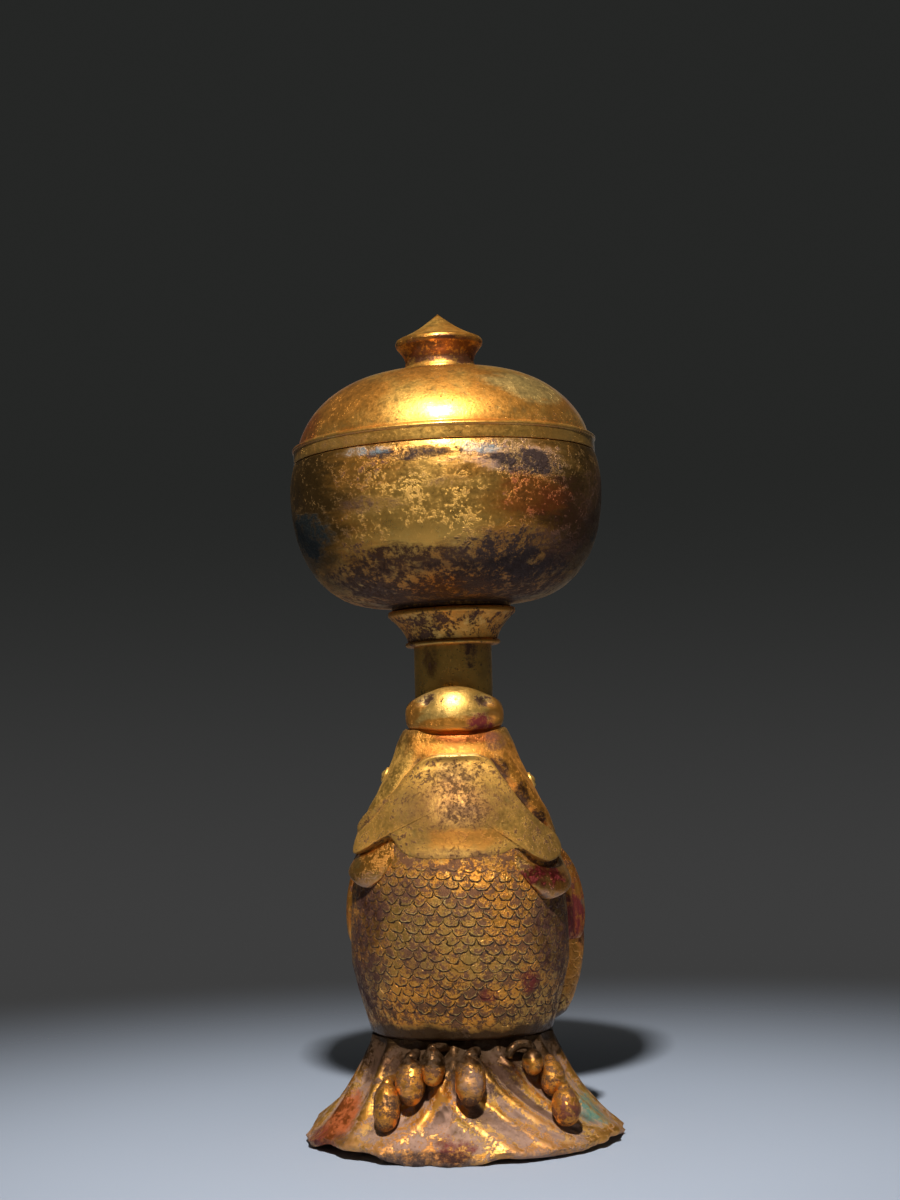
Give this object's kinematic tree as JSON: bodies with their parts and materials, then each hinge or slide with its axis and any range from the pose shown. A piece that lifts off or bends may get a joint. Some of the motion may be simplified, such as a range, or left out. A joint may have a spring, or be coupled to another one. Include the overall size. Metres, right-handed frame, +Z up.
{
  "type": "lidded bowl on fish stand",
  "caption": "Gilt bronze covered bowl carried by an upright fish on a flared foot of waves, with a lift-off domed lid.",
  "frame": {"origin": "bottom centre of the bounding box, under the middle of the foot on the surface it stands on", "axes": "+Z up along the stand, -Y the way the fish's chin and belly face, +X to the right seen from the front"},
  "size_m": [0.111, 0.1106, 0.2897],
  "materials": {
    "body_gilt": "worn fire gilding on bronze, olive gold with brown specks",
    "bright_gilt": "bright fire gilding on bronze",
    "foot_gilt": "worn fire gilding with corroded hollows",
    "red_gilt": "reddish worn gilding",
    "bare_bronze": "brown bronze with traces of gilding"
  },
  "bodies": {
    "stand": {"wave_foot": "foot_gilt", "wave_crest_front_1": "bright_gilt", "wave_crest_front_2": "bright_gilt", "wave_crest_front_3": "bright_gilt", "wave_crest_front_4": "bright_gilt", "wave_crest_front_5": "bright_gilt", "wave_crest_front_6": "bright_gilt", "wave_crest_front_7": "bright_gilt", "wave_crest_rear_1": "bright_gilt", "wave_crest_rear_2": "bright_gilt", "wave_crest_rear_3": "bright_gilt", "wave_crest_rear_4": "bright_gilt", "wave_crest_rear_5": "bright_gilt", "wave_crest_rear_6": "bright_gilt", "wave_crest_rear_7": "bright_gilt", "fish_body": "body_gilt", "mouth_lip": "bright_gilt", "chin_plate": "body_gilt", "gill_cover_left": "red_gilt", "gill_cover_right": "red_gilt", "eye_left": "bright_gilt", "eye_right": "bright_gilt", "pectoral_fin_left": "red_gilt", "pectoral_fin_right": "red_gilt", "dorsal_fin": "red_gilt", "stem_tube": "body_gilt"},
    "collar": {"socket_collar": "bare_bronze"},
    "bowl": {"bowl": "body_gilt"},
    "lid": {"lid": "bright_gilt", "lid_knob": "bright_gilt", "knob_washer": "bare_bronze"}
  },
  "joints": [
    {"name": "collar_lift", "type": "slide", "parent": "stand", "child": "collar", "axis": [-0.0209, 0, 0.9998], "range_m": [0, 0.06]},
    {"name": "bowl_turn", "type": "hinge", "parent": "collar", "child": "bowl", "pos_m": [0, 0, 0.1788], "axis": [-0.0209, 0, 0.9998], "continuous": true},
    {"name": "lid_lift", "type": "slide", "parent": "bowl", "child": "lid", "axis": [-0.0209, 0, 0.9998], "range_m": [0, 0.08]}
  ]
}
